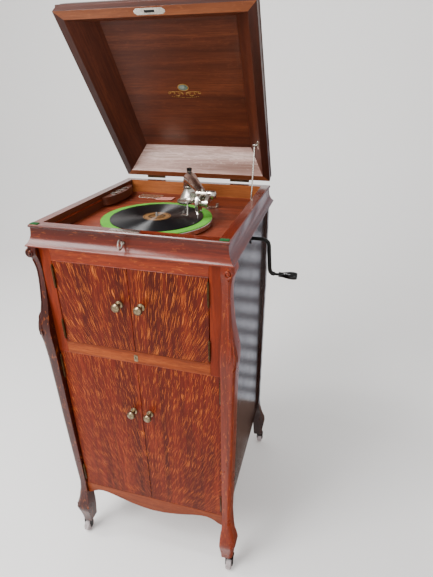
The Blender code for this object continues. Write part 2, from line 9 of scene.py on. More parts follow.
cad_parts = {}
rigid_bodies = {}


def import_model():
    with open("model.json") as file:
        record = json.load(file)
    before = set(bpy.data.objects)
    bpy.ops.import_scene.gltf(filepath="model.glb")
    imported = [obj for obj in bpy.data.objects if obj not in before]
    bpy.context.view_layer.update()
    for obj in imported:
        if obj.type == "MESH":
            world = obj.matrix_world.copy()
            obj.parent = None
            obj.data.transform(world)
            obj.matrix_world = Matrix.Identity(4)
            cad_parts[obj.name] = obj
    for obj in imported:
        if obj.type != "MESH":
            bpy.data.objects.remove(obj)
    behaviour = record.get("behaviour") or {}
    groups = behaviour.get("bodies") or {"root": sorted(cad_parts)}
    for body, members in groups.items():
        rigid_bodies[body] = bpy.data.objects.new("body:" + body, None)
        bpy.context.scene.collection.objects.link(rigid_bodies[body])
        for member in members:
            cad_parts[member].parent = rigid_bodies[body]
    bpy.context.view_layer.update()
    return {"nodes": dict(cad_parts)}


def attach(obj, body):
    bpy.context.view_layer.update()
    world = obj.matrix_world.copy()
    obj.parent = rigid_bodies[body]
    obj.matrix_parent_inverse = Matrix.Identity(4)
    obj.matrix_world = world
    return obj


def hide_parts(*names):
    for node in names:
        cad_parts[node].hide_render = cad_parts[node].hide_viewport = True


for old in list(bpy.data.objects):
    bpy.data.objects.remove(old, do_unlink=True)
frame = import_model()
NODES = frame["nodes"]

# Lengths below are in the cabinet's own millimetres, as in the CAD, with x = 0 at the doors' seam
# and z = 0 on the floor. at() turns them into metres in the shared frame.
MM = 0.001
SHIFT = Vector((-49.5, -6.137, 0.0))
SEAM_X = SHIFT.x * MM

RIM_X, RIM_Y, RIM_Z = 254.0, 277.0, 1150.0   # half width, half depth and height of the well's rim
WELL_X, WELL_Y = RIM_X - 23, RIM_Y - 23      # the rim's inner edges
BOARD_Z = 1108.0                             # top of the motor board
FRAME_Y = -279.0                             # front of the face frame
FRAME_BOTTOM, FRAME_TOP = 781.4, 1094.7
MID_RAIL_TOP, TOP_RAIL_BOTTOM = 818.4, 1059.4
STILE_IN, STILE_OUT = 207.5, 237.7
KEYHOLE_Z = 798.0

LID_PIN = Vector((0.0, 287.3, 1157.35))
LID_OPEN = math.radians(55.0)
LID_TURN = (Matrix.Translation(LID_PIN) @ Matrix.Rotation(-LID_OPEN, 4, "X")
            @ Matrix.Translation(-LID_PIN))
LID_Z, LID_DEPTH = 1152.0, 76.5              # the shut lid's lower face, and its inner panel above it
LID_PANEL_Z = LID_Z + LID_DEPTH
LID_EDGE, LID_LEAN = 22.0, 48.0              # width of its rim, and how far its inner walls lean in
STRIKE_Y = -266.0

SPINDLE = Vector((0.0, -75.0, 0.0))
BRACKET_X, BRACKET_Y = 8.0, 185.0            # the tonearm's pivot
GOOSENECK_Y, GOOSENECK_Z = -20.0, 1183.0
SOUND_BOX_Y, SOUND_BOX_Z = -55.0, 1168.0


def at(x, y, z):
    return (Vector((x, y, z)) + SHIFT) * MM


def turns(count):
    """Angles in radians, evenly round a circle."""
    return [2 * math.pi * k / count for k in range(count)]


# ---------------------------------------------------------------- finishes

def srgb(r, g, b):
    """A shader colour from 0 to 255 screen values."""
    def linear(c):
        c /= 255
        return c / 12.92 if c <= 0.04045 else ((c + 0.055) / 1.055) ** 2.4
    return (linear(r), linear(g), linear(b), 1.0)


class Finish:
    """A node material, built by short calls that each return an output socket."""

    def __init__(self, name, **values):
        self.material = bpy.data.materials.new(name)
        self.material.use_nodes = True
        tree = self.material.node_tree
        self.nodes, self.links = tree.nodes, tree.links
        self.shader = self.nodes["Principled BSDF"]
        self.set(**values)

    def set(self, **values):
        for key, value in values.items():
            socket = self.shader.inputs[key.replace("_", " ")]
            if isinstance(value, bpy.types.NodeSocket):
                self.links.new(value, socket)
            else:
                socket.default_value = value
        return self

    def node(self, kind, inputs, output=0, **settings):
        made = self.nodes.new(kind)
        for key, value in settings.items():
            setattr(made, key, value)
        for key, value in inputs.items():
            if isinstance(value, bpy.types.NodeSocket):
                self.links.new(value, made.inputs[key])
            else:
                made.inputs[key].default_value = value
        return made.outputs[output]

    def place(self):
        return self.node("ShaderNodeTexCoord", {}, "Object")

    def sums(self, operation, a, b=0.0, c=0.0):
        return self.node("ShaderNodeMath", {0: a, 1: b, 2: c}, operation=operation)

    def scaled(self, vector, by):
        return self.node("ShaderNodeVectorMath", {0: vector, 1: by}, operation="MULTIPLY")

    def noise(self, vector, scale, detail=2.0, rough=0.5, warp=0.0):
        return self.node("ShaderNodeTexNoise", {"Vector": vector, "Scale": scale, "Detail": detail,
                                                "Roughness": rough, "Distortion": warp}, "Fac")

    def ramp(self, value, *stops):
        made = self.nodes.new("ShaderNodeValToRGB")
        self.links.new(value, made.inputs[0])
        row = made.color_ramp.elements
        while len(row) < len(stops):
            row.new(0.5)
        for element, (position, colour) in zip(row, stops):
            element.position = position
            element.color = colour if isinstance(colour, tuple) else (colour,) * 3 + (1.0,)
        return made.outputs[0]

    def between(self, value, low, high):
        return self.node("ShaderNodeMapRange", {"Value": value, "To Min": low, "To Max": high})

    def mix(self, factor, a, b, blend="MIX"):
        return self.node("ShaderNodeMix", {0: factor, 6: a, 7: b}, 2, data_type="RGBA",
                         blend_type=blend)

    def bump(self, height, strength, distance):
        return self.set(Normal=self.node("ShaderNodeBump", {
            "Strength": strength, "Distance": distance, "Height": height}))


# How far each grain direction draws out the wood's noise, and how far it draws out the flecks.
GRAIN = {"x": (0.05, 1.0, 1.0), "y": (1.0, 0.05, 1.0), "z": (1.0, 1.0, 0.05)}
FLECK_GRAIN = {"x": (0.3, 1.0, 1.0), "y": (1.0, 0.3, 1.0), "z": (1.0, 1.0, 0.3)}

# Noise scales of the wood's marks, in features per metre.
BANDS, PATCHES, FLECKS, FINE_LINES, PORES = 26.0, 5.0, 150.0, 240.0, 900.0

# How the flecks of a pair of book-matched doors fan out from their seam. Lengths are in metres.
UPPER_FAN = {"lowest": 0.819, "offset": 0.034, "power": 0.44, "fineness": 720.0}
LOWER_FAN = {"lowest": 0.242, "offset": 0.126, "power": 0.415, "fineness": 920.0}


def lid_place(finish, place):
    """The lid's own upright coordinates, so that its grain runs along its boards."""
    return finish.node("ShaderNodeVectorRotate", {"Vector": place, "Center": at(*LID_PIN),
                                                  "Angle": LID_OPEN}, rotation_type="X_AXIS")


def fanned_flecks(f, place, lowest, offset, power, fineness):
    """Long wavy flecks on curves that rise outwards from the seam, steeper as they rise.

    The curves meet at a point past the seam by offset and under the doors' lowest edge by lift."""
    lift, spread, waviness, stretch, apart = 0.15, 0.62, 0.011, 0.026, 3.0
    x, z = (f.node("ShaderNodeSeparateXYZ", {0: place}, k) for k in (0, 2))
    side = f.sums("SUBTRACT", x, SEAM_X)
    away = f.sums("ADD", f.sums("ABSOLUTE", side), offset)
    height = f.sums("POWER", f.sums("ADD", f.sums("SUBTRACT", z, lowest), lift), power)
    wave = f.sums("MULTIPLY", f.sums("SUBTRACT", f.noise(place, 30.0), 0.5), waviness)
    across = f.sums("ADD", f.sums("MULTIPLY", f.sums("DIVIDE", away, height), spread), wave)
    half = f.sums("MULTIPLY", f.sums("SIGN", side), apart)
    streak = f.node("ShaderNodeCombineXYZ", {0: across, 1: half, 2: f.sums("MULTIPLY", z, stretch)})
    return f.noise(streak, fineness, 1.0, 0.5, 0.1)


def oak(name, grain, dark, mid, light, fleck=0.5, ray=None, gloss=0.34, coat=0.0, in_lid=False,
        fan=None, shine=0.22):
    """Stained quarter-sawn oak: tone bands, fine lines, pores and pale ray flecks.

    fleck is how strongly the flecks show and ray is their colour. fan is for book-matched doors."""
    f = Finish(name)
    place = f.place()
    if in_lid:
        place = lid_place(f, place)
    long = f.scaled(place, GRAIN[grain])
    tone = f.ramp(f.noise(long, BANDS, 4.0, 0.6, 0.6), (0.3, dark), (0.52, mid), (0.74, light))
    patch = f.ramp(f.noise(place, PATCHES), (0.35, 0.0), (0.7, 0.35))
    tone = f.mix(patch, tone, f.mix(0.55, tone, dark))
    if fan:
        flecks = fanned_flecks(f, place, **fan)
        where = f.ramp(f.noise(place, 9.0, 1.0), (0.25, 0.55), (0.7, 1.0))
    else:
        flecks = f.noise(f.scaled(place, FLECK_GRAIN[grain]), FLECKS, 2.0, 0.6, 0.8)
        where = f.ramp(f.noise(long, 14.0, 1.0), (0.3, 0.25), (0.7, 1.0))
    mark = f.mix(1.0, f.ramp(flecks, (0.595, 0.0), (0.655, fleck)), where, "MULTIPLY")
    lines = f.ramp(f.noise(long, FINE_LINES, 2.0, 0.6), (0.38, 0.42), (0.56, 0.0))
    tone = f.mix(mark, f.mix(lines, tone, dark), ray or light)
    pores = f.noise(long, PORES, 2.0, 0.7)
    tone = f.mix(f.ramp(pores, (0.36, 0.5), (0.5, 0.0)), tone, dark)
    rough = f.between(f.noise(place, 18.0, 3.0), gloss - 0.07, gloss + 0.1)
    f.set(Base_Color=tone, Roughness=rough, Specular_IOR_Level=shine, Coat_Weight=coat,
          Coat_Roughness=0.16)
    return f.bump(pores, 0.35, 0.0003).material


def metal(name, tint, worn_and_painted_dark, rough, patch=40.0, tarnish_and_painted_reflection=0.5):
    """Plated or bare metal with tarnished patches and fine scratches. On the tonearm the darker tint and
    heavy dark patches are also painted reflection of a dark room.
    """
    f = Finish(name, Metallic=1.0)
    place = f.place()
    stain_and_painted_dark = f.noise(place, patch, 4.0, 0.65, 0.4)
    f.set(Base_Color=f.mix(f.ramp(stain_and_painted_dark, (0.42, 0.0), (0.68, tarnish_and_painted_reflection)), tint, worn_and_painted_dark),
          Roughness=f.between(stain_and_painted_dark, rough * 0.7, rough * 1.6))
    scratches = f.noise(f.scaled(place, (1.0, 1.0, 0.1)), 1400.0)
    return f.bump(scratches, 0.12, 0.0001).material


def enamel(name, tint, worn_and_painted_dark, rough, coat=0.0, shine=0.5):
    """Paint, enamel or card: one colour with a mottled second."""
    f = Finish(name, Coat_Weight=coat, Specular_IOR_Level=shine)
    place = f.place()
    stain_and_painted_dark = f.noise(place, 55.0, 4.0, 0.6)
    f.set(Base_Color=f.mix(f.ramp(stain_and_painted_dark, (0.4, 0.0), (0.72, 0.8)), tint, worn_and_painted_dark),
          Roughness=f.between(stain_and_painted_dark, rough * 0.75, rough * 1.3))
    return f.bump(f.noise(place, 500.0), 0.15, 0.0002).material


def felt(name, tint, shade):
    """Wool felt with a fuzzy surface and darker worn patches."""
    f = Finish(name, Roughness=0.95, Sheen_Weight=0.04, Sheen_Roughness=0.5,
               Specular_IOR_Level=0.1)
    place = f.place()
    fuzz = f.noise(place, 700.0, 3.0, 0.7, 0.5)
    wear = f.ramp(f.noise(place, 22.0, 3.0), (0.35, 0.0), (0.75, 0.5))
    f.set(Base_Color=f.mix(wear, f.mix(f.ramp(fuzz, (0.35, 0.0), (0.65, 0.6)), tint, shade), shade))
    return f.bump(fuzz, 0.6, 0.0008).material


def shellac_record(name):
    """Black shellac with fine grooves round a plain two-tone label with a ten-petalled motif."""
    label, motif_r, petal, petals = 0.038, 0.02, 0.003, 10.0
    f = Finish(name, Anisotropic=1.0, Anisotropic_Rotation=0.25, Specular_IOR_Level=0.27)
    centre = at(*SPINDLE)
    place = f.node("ShaderNodeVectorMath", {0: f.place(), 1: (centre.x, centre.y, 0.0)},
                   operation="SUBTRACT")
    x, y = (f.node("ShaderNodeSeparateXYZ", {0: place}, k) for k in range(2))
    r = f.sums("SQRT", f.sums("ADD", f.sums("MULTIPLY", x, x), f.sums("MULTIPLY", y, y)))
    on_label = f.sums("LESS_THAN", r, label)
    bands = f.noise(f.node("ShaderNodeCombineXYZ", {0: r, 1: 0.0, 2: 0.0}), 420.0)
    shellac = f.mix(bands, srgb(4, 4, 5), srgb(14, 14, 17))
    wave = f.sums("SINE", f.sums("MULTIPLY", f.sums("ARCTAN2", y, x), petals))
    motif = f.sums("GREATER_THAN", f.sums("ADD", f.sums("MULTIPLY", wave, petal), motif_r), r)
    gold, umber = srgb(122, 86, 50), srgb(44, 30, 20)
    paper = f.ramp(f.sums("MULTIPLY", r, 26.0), (0.0, umber), (0.2, gold), (0.24, umber),
                   (0.6, umber), (0.64, gold), (0.86, gold), (0.9, umber), (0.95, gold))
    paper = f.mix(f.sums("MULTIPLY", motif, 0.5), paper, gold)
    glossy, matt = (0.42,) * 3 + (1.0,), (0.7,) * 3 + (1.0,)
    f.set(Base_Color=f.mix(on_label, shellac, paper), Roughness=f.mix(on_label, glossy, matt),
          Tangent=f.node("ShaderNodeTangent", {}, direction_type="RADIAL", axis="Z"))
    grooves = f.sums("SINE", f.sums("MULTIPLY", r, 9000.0))
    return f.bump(grooves, 0.06, 0.00005).material


# Each wood's dark, middle and light tone.
DOOR = (srgb(52, 13, 6), srgb(92, 26, 11), srgb(124, 42, 17))
LOWER_DOOR = (srgb(62, 17, 8), srgb(104, 31, 14), srgb(130, 48, 21))
RAIL = (srgb(84, 32, 12), srgb(132, 58, 22), srgb(164, 82, 36))
STILE = (srgb(80, 24, 8), srgb(122, 40, 13), srgb(150, 57, 21))
CASE = (srgb(66, 21, 11), srgb(104, 33, 16), srgb(132, 50, 24))
BOARD = (srgb(78, 30, 16), srgb(136, 58, 34), srgb(172, 84, 50))
LID_RIM = (srgb(96, 48, 24), srgb(124, 68, 38), srgb(150, 90, 56))
# The lid's outside is darker than the case oak: painted shade.
LID_TOP_PAINTED_SHADE = (srgb(42, 19, 12), srgb(64, 29, 19), srgb(86, 42, 27))
LID_SIDE = (srgb(52, 20, 11), srgb(80, 36, 19), srgb(104, 50, 27))
LID_RIM_SIDE = (srgb(38, 15, 9), srgb(56, 24, 14), srgb(76, 36, 22))
SHADE = (srgb(38, 10, 5), srgb(62, 17, 9), srgb(84, 28, 14))
DARK = (srgb(30, 15, 12), srgb(44, 23, 19), srgb(60, 33, 27))
INNER = (srgb(62, 27, 15), srgb(92, 44, 25), srgb(118, 60, 34))
WELL_REAR = (srgb(114, 58, 25), srgb(147, 83, 41), srgb(172, 104, 56))
# The lid's inner rear wall has pale pinkish tones that stand in for glare: painted highlight over the oak.
LID_REAR_PAINTED_HIGHLIGHT = (srgb(120, 84, 70), srgb(186, 150, 138), srgb(226, 200, 190))
RAY = srgb(220, 116, 42)

# Every finish, by the name that pieces ask for.
F = {
    "upper_doors": oak("oak_upper_doors", "z", *DOOR, 0.9, RAY, gloss=0.42, fan=UPPER_FAN, shine=0.12),
    "lower_doors": oak("oak_lower_doors", "z", *LOWER_DOOR, 0.7, RAY, gloss=0.42, fan=LOWER_FAN,
                       shine=0.1),
    "rail": oak("oak_rail", "x", *RAIL, 0.3, shine=0.12),
    "stile": oak("oak_stile", "z", *STILE, 0.3, shine=0.12),
    "top_rail": oak("oak_top_rail", "x", *STILE, 0.4, RAY),
    "post": oak("oak_post", "z", *STILE, 0.4, RAY, gloss=0.28, coat=0.1),
    "post_shade": oak("oak_post_in_shade", "z", *SHADE, 0.3, RAY, gloss=0.28, coat=0.1),
    "case_x": oak("oak_moulding_front", "x", *CASE, 0.14, RAY, gloss=0.22, coat=0.4),
    "case_y": oak("oak_moulding_side", "y", *CASE, 0.1, RAY, gloss=0.22, coat=0.4),
    "panel": oak("oak_side_panel", "z", *DARK, 0.1, gloss=0.16, shine=0.4),
    "board": oak("oak_motor_board", "x", *BOARD, 0.3, gloss=0.4),
    "well": oak("oak_well_wall", "x", *WELL_REAR, 0.3, gloss=0.4),
    "well_side": oak("oak_well_side", "y", *INNER, 0.2, gloss=0.4),
    "lid_panel": oak("oak_lid_panel", "x", *INNER, 0.3, gloss=0.42, in_lid=True),
    "lid_side": oak("oak_lid_side", "y", *LID_SIDE, 0.15, gloss=0.42, in_lid=True),
    "lid_rear": oak("oak_lid_rear_painted_highlight", "x", *LID_REAR_PAINTED_HIGHLIGHT, 0.4, gloss=0.3, in_lid=True),
    "lid_rim": oak("oak_lid_rim", "x", *LID_RIM, 0.4, gloss=0.35, in_lid=True),
    "lid_rim_side": oak("oak_lid_rim_side", "y", *LID_RIM_SIDE, 0.3, gloss=0.35, in_lid=True),
    "lid_out": oak("oak_lid_outside_painted_shade", "x", *LID_TOP_PAINTED_SHADE, 0.2, gloss=0.3, shine=0.12, in_lid=True),
    "inside": oak("oak_inside", "z", *INNER, 0.2, gloss=0.5),
    "nickel": metal("aged_nickel", srgb(196, 190, 180), srgb(92, 82, 70), 0.24),
    # The tonearm's darker tint and heavy dark patches are partly tarnished nickel and partly painted
    # reflection of a dark room.
    "arm": metal("tonearm_nickel_painted_reflection", srgb(170, 160, 148), srgb(60, 50, 42), 0.2, 26.0, 0.85),
    "knob": metal("aged_knob_nickel", srgb(138, 122, 96), srgb(74, 58, 36), 0.3, 120.0, 0.7),
    "brass": metal("aged_brass", srgb(78, 58, 36), srgb(44, 30, 18), 0.4, 90.0, 0.8),
    "gold": metal("gilt", srgb(196, 156, 84), srgb(122, 86, 40), 0.4, 300.0, 0.6),
    "steel": metal("works_steel", srgb(140, 138, 134), srgb(84, 80, 76), 0.35),
    "iron": enamel("black_iron", srgb(12, 11, 11), srgb(26, 21, 18), 0.34, 0.0, 0.2),
    "handle": enamel("black_handle", srgb(7, 6, 6), srgb(14, 12, 11), 0.16, 0.0, 0.3),
    "wheel": enamel("worn_caster_wheel", srgb(172, 162, 162), srgb(120, 106, 104), 0.5),
    "card": enamel("faded_card", srgb(206, 132, 118), srgb(176, 96, 84), 0.8),
    "glass": enamel("ornament_enamel", srgb(58, 74, 66), srgb(150, 160, 148), 0.3, 0.2),
    # Near-black for the depth of holes and slots: painted shade.
    "void": enamel("keyhole_painted_shade", srgb(8, 6, 6), srgb(14, 10, 10), 0.9),
    "felt": felt("turntable_felt", srgb(94, 168, 46), srgb(66, 138, 30)),
    "pad": felt("corner_felt", srgb(0, 84, 34), srgb(0, 62, 24)),
    "record": shellac_record("shellac_record"),
}


# ---------------------------------------------------------------- CAD nodes

CREASE = math.radians(38.0)


def soften(node, finish, bevel):
    """Give a CAD node its finish, eased edges and smooth shading. Its vertices stay."""
    obj = NODES[node]
    mesh = obj.data
    mesh.materials.clear()
    mesh.materials.append(F[finish])
    marks = mesh.attributes.get("custom_normal")
    if marks:
        mesh.attributes.remove(marks)
    mesh.shade_smooth()
    obj.modifiers.new("weld", "WELD").merge_threshold = 0.000002
    if bevel:
        edge = obj.modifiers.new("eased", "BEVEL")
        edge.width, edge.segments = bevel * MM, 2
        edge.limit_method, edge.angle_limit = "ANGLE", CREASE
    obj.modifiers.new("creases", "EDGE_SPLIT").split_angle = CREASE
    if bevel:
        obj.modifiers.new("flat_faces", "WEIGHTED_NORMAL").weight = 100


def repaint(node, choose):
    """Give each face of a node the finish named by choose(centre, normal), in cabinet mm."""
    mesh = NODES[node].data
    index = {}
    for face in mesh.polygons:
        centre = face.center / MM - SHIFT
        name = choose(centre, face.normal)
        if name not in index:
            mesh.materials.append(F[name])
            index[name] = len(mesh.materials) - 1
        face.material_index = index[name]


CORNERS = [f"{end}_{side}" for end in ("front", "rear") for side in ("left", "right")]
DOORS = [f"{level}_{side}" for level in ("upper", "lower") for side in ("left", "right")]


def each(places, part):
    return " ".join(f"{place}_{part}" for place in places)


CAD_FINISH = {
    "post": "front_right_post",
    "post_shade": "front_left_post",
    "case_x": "crown_moulding",
    "panel": "left_side_panel right_side_panel back_panel rear_left_post rear_right_post",
    "inside": "bottom_board mid_shelf louvre_grille horn",
    "rail": "front_apron",
    "upper_doors": each(DOORS[:2], "door"),
    "lower_doors": each(DOORS[2:], "door"),
    "board": "motor_board",
    "well_side": "needle_tray",
    "lid_out": "lid_shell",
    "nickel": "tonearm_bracket gooseneck sound_box record_brush stay_rod lid_key brake_lever "
              "lock_plate platter",
    "arm": "tonearm",
    "knob": each(DOORS, "knob"),
    "brass": each(DOORS, "hinge") + " lid_hinges winding_wheel governor",
    "steel": "turntable_spindle spring_barrel mainspring needle",
    "iron": "crank_arm crank_escutcheon motor_bedplate " + each(CORNERS, "caster_fork"),
    "handle": "crank_handle",
    "wheel": each(CORNERS, "caster_wheel"),
    "felt": "platter_felt",
    "record": "record",
}
# Widths of the eased edges, in mm, for the finishes that have them.
BEVELS = {"upper_doors": 1.0, "lower_doors": 1.0, "rail": 0.8, "case_x": 0.7, "lid_out": 0.9,
          "iron": 0.4, "well_side": 1.2, "panel": 0.3}
for finish, names in CAD_FINISH.items():
    for name in names.split():
        soften(name, finish, BEVELS.get(finish, 0.0))


def on_sides(point):
    """Whether a point is nearer the left and right sides of the rim than its front and back."""
    return abs(point.x) / RIM_X > abs(point.y) / RIM_Y


def moulding_face(centre, normal):
    inside = abs(centre.x) < WELL_X and abs(centre.y) < WELL_Y
    if inside and abs(normal.z) < 0.5:
        return "well_side" if on_sides(centre) or centre.y < 0 else "well"
    return "case_y" if on_sides(centre) else "case_x"


def lid_face(centre, normal):
    centre = LID_TURN.inverted() @ centre
    normal = LID_TURN.to_3x3().inverted() @ normal
    height = centre.z - LID_Z
    if height > LID_DEPTH - 1.5 and normal.z < -0.8:
        return "lid_panel"
    if height < 1 and normal.z < -0.8:
        return "lid_rim_side" if on_sides(centre) else "lid_rim"
    inward = centre.x * normal.x + centre.y * normal.y < 0
    within = abs(centre.x) < RIM_X - LID_EDGE + 1 and abs(centre.y) < RIM_Y - LID_EDGE + 1
    if inward and within and 0 < height < LID_DEPTH + 0.5:
        if abs(normal.y) > abs(normal.x):
            # The inner rear wall takes the pale finish with painted highlight.
            return "lid_rear" if centre.y > 0 else "lid_panel"
        return "lid_side"
    # Everything else on the lid takes the dark outside finish, which is painted shade.
    return "lid_out"


repaint("crown_moulding", moulding_face)
repaint("lid_shell", lid_face)


# ---------------------------------------------------------------- building new pieces

def piece(name, points, faces, finish, body, slot, turn=None, smooth=40.0, bevel=0.0):
    """A new piece from points in cabinet mm, riding on a body."""
    mesh = bpy.data.meshes.new(name)
    if turn is not None:
        points = [turn @ Vector(p) for p in points]
    mesh.from_pydata([at(*p) for p in points], [], faces)
    work = bmesh.new()
    work.from_mesh(mesh)
    bmesh.ops.remove_doubles(work, verts=work.verts, dist=0.000001)
    if bevel:
        sharp = [e for e in work.edges if len(e.link_faces) == 2 and e.calc_face_angle(0) > 0.6]
        bmesh.ops.bevel(work, geom=sharp, offset=bevel * MM, segments=2, profile=0.6, affect="EDGES")
    bmesh.ops.recalc_face_normals(work, faces=work.faces)
    if work.calc_volume(signed=True) < 0:
        bmesh.ops.reverse_faces(work, faces=work.faces)
    work.to_mesh(mesh)
    work.free()
    mesh.shade_smooth()
    obj = bpy.data.objects.new(name, mesh)
    bpy.context.scene.collection.objects.link(obj)
    split = obj.modifiers.new("creases", "EDGE_SPLIT")
    split.split_angle = math.radians(smooth)
    if bevel:
        obj.modifiers.new("flat_faces", "WEIGHTED_NORMAL").weight = 100
    mesh.materials.append(F[finish])
    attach(obj, body)
    return obj


def skin(rings, ends=True):
    """Points and faces of closed rings of equal length, each joined to the next.

    Without ends, the last ring joins the first."""
    count = len(rings[0])
    points = [p for ring in rings for p in ring]
    faces = []
    for i in range(len(rings) - (1 if ends else 0)):
        a, b = i * count, (i + 1) % len(rings) * count
        faces += [(a + j, a + (j + 1) % count, b + (j + 1) % count, b + j) for j in range(count)]
    if ends:
        faces += [tuple(range(count)), tuple(range(len(points) - count, len(points)))]
    return points, faces


def tube(path, radii, sides=10):
    """A round tube along a path, with one radius or one for each point."""
    path = [Vector(p) for p in path]
    rings, side = [], None
    for i, point in enumerate(path):
        along = (path[min(i + 1, len(path) - 1)] - path[max(i - 1, 0)]).normalized()
        side = side or along.orthogonal().normalized()
        side = (side - along * side.dot(along)).normalized()
        other = along.cross(side)
        radius = radii[i] if isinstance(radii, (list, tuple)) else radii
        rings.append([tuple(point + (side * math.cos(t) + other * math.sin(t)) * radius)
                      for t in turns(sides)])
    return skin(rings)


def together(*parts):
    """Several (points, faces) as one."""
    points, faces = [], []
    for more, quads in parts:
        faces += [tuple(i + len(points) for i in quad) for quad in quads]
        points += more
    return points, faces


def block(x, y, z):
    (x0, x1), (y0, y1), (z0, z1) = x, y, z
    return skin([[(x0, y0, h), (x1, y0, h), (x1, y1, h), (x0, y1, h)] for h in (z0, z1)])


def turned(profile, centre, axis="z", steps=28):
    """A solid of revolution from (radius, height) rows, from one end of the axis to the other."""
    cx, cy, cz = centre
    spot = {"x": lambda c, s, h: (cx + h, cy + c, cz + s),
            "y": lambda c, s, h: (cx + c, cy + h, cz + s),
            "z": lambda c, s, h: (cx + c, cy + s, cz + h)}[axis]
    return skin([[spot(max(r, 0.02) * math.cos(t), max(r, 0.02) * math.sin(t), h)
                  for t in turns(steps)] for r, h in profile])


def screw_head(centre, radius, axis="z", out=1.0):
    """A slightly domed screw head that stands out from a surface."""
    dome = [(radius, 0.0), (radius, 0.35 * out), (radius * 0.8, 0.75 * out),
            (radius * 0.35, 0.95 * out)]
    return turned(dome, centre, axis, 14)


def rounded(x0, x1, y0, y1, r, steps=4):
    """A rectangle's outline with rounded corners."""
    corners = ((x1 - r, y1 - r, 0), (x0 + r, y1 - r, 90), (x0 + r, y0 + r, 180), (x1 - r, y0 + r, 270))
    return [(cx + r * math.cos(math.radians(start + 90 * k / steps)),
             cy + r * math.sin(math.radians(start + 90 * k / steps)))
            for cx, cy, start in corners for k in range(steps + 1)]


# ---------------------------------------------------------------- face frame

def face_frame():
    """The frame's stiles and rails as the separate boards that they are."""
    depth, rail = (FRAME_Y, FRAME_Y + 20), (0.1 - STILE_IN, STILE_IN - 0.1)
    stand_in = None
    for name, x, z, finish in (
            ("left_stile", (-STILE_OUT, -STILE_IN), (FRAME_BOTTOM, FRAME_TOP), "stile"),
            ("right_stile", (STILE_IN, STILE_OUT), (FRAME_BOTTOM, FRAME_TOP), "stile"),
            ("top_rail", rail, (TOP_RAIL_BOTTOM, FRAME_TOP), "top_rail"),
            ("mid_rail", rail, (FRAME_BOTTOM, MID_RAIL_TOP), "rail")):
        board = piece(name, *block(x, depth, z), finish, "cabinet", "face_frame", bevel=0.7)
        stand_in = stand_in or board
    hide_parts("face_frame")


def keyhole_plate():
    """A small plate on the mid rail, with its keyhole's round and slot."""
    outline = rounded(-5.5, 5.5, -10.5, 10.5, 2.5)
    front = FRAME_Y - 1.3
    rings = [[(x * s, y, KEYHOLE_Z + z * s) for x, z in outline] for y, s in
             ((FRAME_Y, 1.0), (FRAME_Y - 0.9, 1.0), (front, 0.88))]
    piece("mid_rail_keyhole_plate", *skin(rings), "knob", "cabinet", "lock_plate")
    # The keyhole's round and slot are a thin black piece on the plate: painted shade for the hole.
    hole_z = KEYHOLE_Z + 2
    hole = together(turned([(1.9, -0.25), (1.9, 0.0)], (0, front - 0.05, hole_z), "y", 14),
                    block((-0.9, 0.9), (front - 0.3, front - 0.05), (hole_z - 5.5, hole_z)))
    piece("mid_rail_keyhole", *hole, "void", "cabinet", "lock_plate")


# ---------------------------------------------------------------- carving on the posts

# (height, how far a front post stands out past the rim), from its scroll down to its toe.
FRONT_BULGE = [(1094.7, 12.5), (1089, 14), (1080, 16), (1073, 14), (1067, 11), (1050, 6.5),
               (1031, 4), (1005, 4), (973, 6), (936, 10), (909, 15), (882, 21), (858, 24),
               (834, 24), (813, 21.5), (760, 19), (650, 17), (552, 16), (443, 14), (340, 12),
               (248, 10), (217, 12), (195, 16), (172, 20), (155, 25), (140, 29), (128, 30),
               (115, 27.5), (98, 24), (76, 21), (60, 20)]


def bulge(z):
    for (z1, v1), (z0, v0) in zip(FRONT_BULGE, FRONT_BULGE[1:]):
        if z0 <= z <= z1:
            return v0 + (v1 - v0) * (z - z0) / (z1 - z0)
    return FRONT_BULGE[0][1]


def on_corner(side, z, turn, proud=0.0):
    """A point on a front post's rounded outer corner; turn runs from 0, front face, to 90, side."""
    b = bulge(z)
    r = 7 + 0.35 * b
    a = math.radians(turn)
    x = RIM_X + b - r + (r + proud) * math.sin(a)
    y = RIM_Y + b - r + (r + proud) * math.cos(a)
    return (side * x, -y, z)


def petal(side, root, length, width, turn, lean):
    """One carved leaf lobe that lies on the post's corner and lifts at its tip."""
    rows, rings = 9, []
    for i in range(rows):
        t = i / (rows - 1)
        z = root - length * t
        half = width * math.sin(math.pi * (0.12 + 0.83 * t)) ** 0.8
        lift = 0.4 + 2.6 * math.sin(math.pi * t) + 1.6 * t * t
        middle = turn + lean * t
        ring = []
        for k in range(10):
            a = 2 * math.pi * k / 10
            proud = lift * max(0.0, math.sin(a)) - 0.6 + (0.5 if k in (2, 3) else 0.0)
            ring.append(on_corner(side, z, middle + half * math.cos(a), proud))
        rings.append(ring)
    return skin(rings)


def knee_leaf(side):
    """Six lobes: (root height, length, width, turn, lean) each, widths and turns in degrees."""
    return together(*[petal(side, *row) for row in (
        (902, 64, 17, 45, 0), (893, 44, 13, 20, -12), (893, 44, 13, 70, 12),
        (874, 34, 10, 12, -18), (874, 34, 10, 78, 18), (908, 24, 9, 45, 0))])


